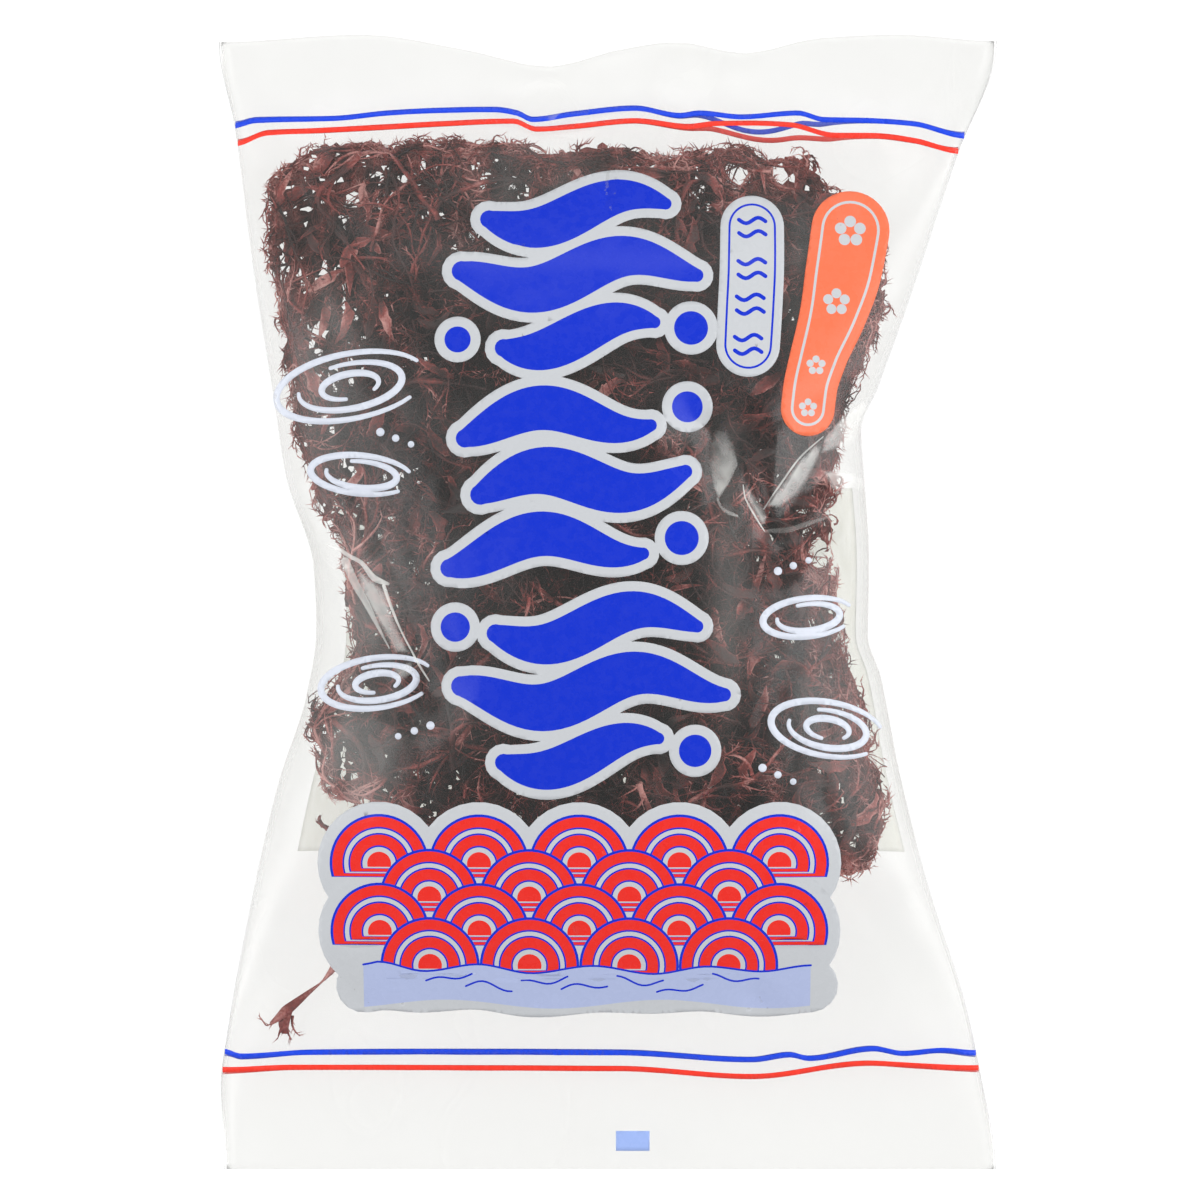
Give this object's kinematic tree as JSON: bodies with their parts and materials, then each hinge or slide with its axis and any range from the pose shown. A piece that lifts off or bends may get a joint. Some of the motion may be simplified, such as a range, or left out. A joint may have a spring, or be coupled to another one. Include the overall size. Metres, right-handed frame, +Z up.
{
  "type": "bagged dried red seaweed",
  "caption": "Clear film pillow bag lying on its back, sealed at both ends and filled with tangled dried red branching seaweed.",
  "frame": {"origin": "under the middle of the bag, on the surface it lies on", "axes": "+Z up through the bag's front, +Y along the bag towards its top seal, +X to the right seen from the front"},
  "size_m": [0.206, 0.3001, 0.0559],
  "materials": {
    "film": "clear glossy film with soft wrinkles",
    "label": "matt label paper",
    "seaweed": "dried, crinkled, dark red-brown",
    "print": "printed ink on film"
  },
  "bodies": {
    "root": {"bag_film": "film", "back_label": "label", "seaweed_top_left": "seaweed", "seaweed_top_right": "seaweed", "seaweed_middle_left": "seaweed", "seaweed_middle_right": "seaweed", "seaweed_bottom_left": "seaweed", "seaweed_bottom_right": "seaweed", "loose_sprig": "seaweed", "loose_bit_upper": "seaweed", "loose_bit_lower": "seaweed"}
  },
  "joints": []
}
